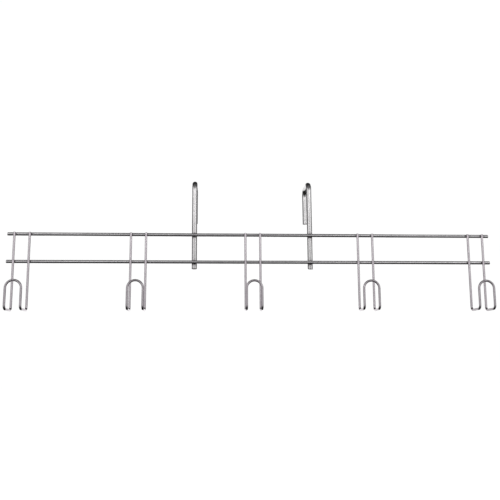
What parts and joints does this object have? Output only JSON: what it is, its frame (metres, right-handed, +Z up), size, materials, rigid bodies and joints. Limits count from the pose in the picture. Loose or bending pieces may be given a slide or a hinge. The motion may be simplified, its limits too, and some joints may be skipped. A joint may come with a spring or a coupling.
{
  "type": "hanging file rack",
  "caption": "Welded steel wire rack: two long bars carry a row of bent-wire hooks with looped fronts, and two over-the-edge hangers hang it on a partition or door.",
  "frame": {"origin": "midway between the two hangers, on the line where the undersides of their top runs rest on the partition", "axes": "+X along the bars to the right as seen from the front, +Y to the back (behind the partition), +Z up"},
  "size_m": [0.75, 0.0988, 0.2093],
  "materials": {
    "bar_wire": "bright plated 5 mm drawn wire",
    "hook_wire": "bright plated 3.5 mm drawn wire",
    "hanger_rod": "bright plated 8 mm drawn rod",
    "weld_metal": "plated resistance weld, slightly dulled"
  },
  "bodies": {
    "root": {"top_bar": "bar_wire", "bottom_bar": "bar_wire", "hook_1": "hook_wire", "hook_2": "hook_wire", "hook_3": "hook_wire", "hook_4": "hook_wire", "hook_5": "hook_wire", "hook_1_top_welds": "weld_metal", "hook_1_bottom_welds": "weld_metal", "hook_2_top_welds": "weld_metal", "hook_2_bottom_welds": "weld_metal", "hook_3_top_welds": "weld_metal", "hook_3_bottom_welds": "weld_metal", "hook_4_top_welds": "weld_metal", "hook_4_bottom_welds": "weld_metal", "hook_5_top_welds": "weld_metal", "hook_5_bottom_welds": "weld_metal", "left_hanger": "hanger_rod", "right_hanger": "hanger_rod", "left_hanger_top_weld": "weld_metal", "left_hanger_bottom_weld": "weld_metal", "right_hanger_top_weld": "weld_metal", "right_hanger_bottom_weld": "weld_metal"}
  },
  "joints": []
}
